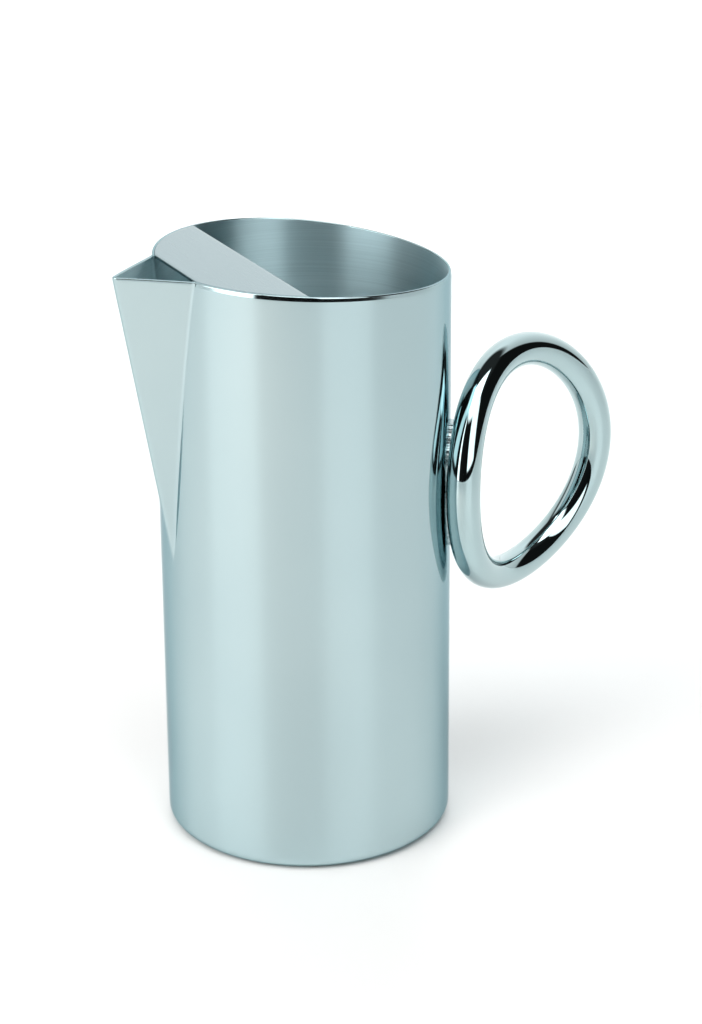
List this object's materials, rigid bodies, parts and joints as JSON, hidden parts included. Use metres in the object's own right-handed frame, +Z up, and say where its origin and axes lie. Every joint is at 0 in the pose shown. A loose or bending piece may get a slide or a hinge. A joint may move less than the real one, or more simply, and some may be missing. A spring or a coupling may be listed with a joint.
{
  "type": "water pitcher",
  "caption": "Straight round polished pitcher with an oblique rim, a folded V spout, an ice guard across the mouth and a bowed ring handle on one side.",
  "frame": {"origin": "centre of the flat base, on the round body's axis", "axes": "+Z up along the body's axis; the spout points to -X; the ring handle's outermost point lies towards +X, and the ring touches the body about 40 degrees round towards -Y"},
  "size_m": [0.1968, 0.105, 0.2178],
  "materials": {
    "body_silver": "polished silver plate outside, fine circular brushing inside",
    "guard_silver": "satin-polished silver plate",
    "ring_silver": "mirror-polished silver plate",
    "braze": "silver-plated braze, slightly rough"
  },
  "bodies": {
    "root": {"base_pan": "body_silver", "base_braze": "braze", "body_tube": "body_silver", "spout": "body_silver", "spout_braze": "body_silver", "ice_guard": "guard_silver", "guard_braze_left": "braze", "guard_braze_right": "braze", "ring_handle": "ring_silver", "handle_braze": "braze"}
  },
  "joints": []
}
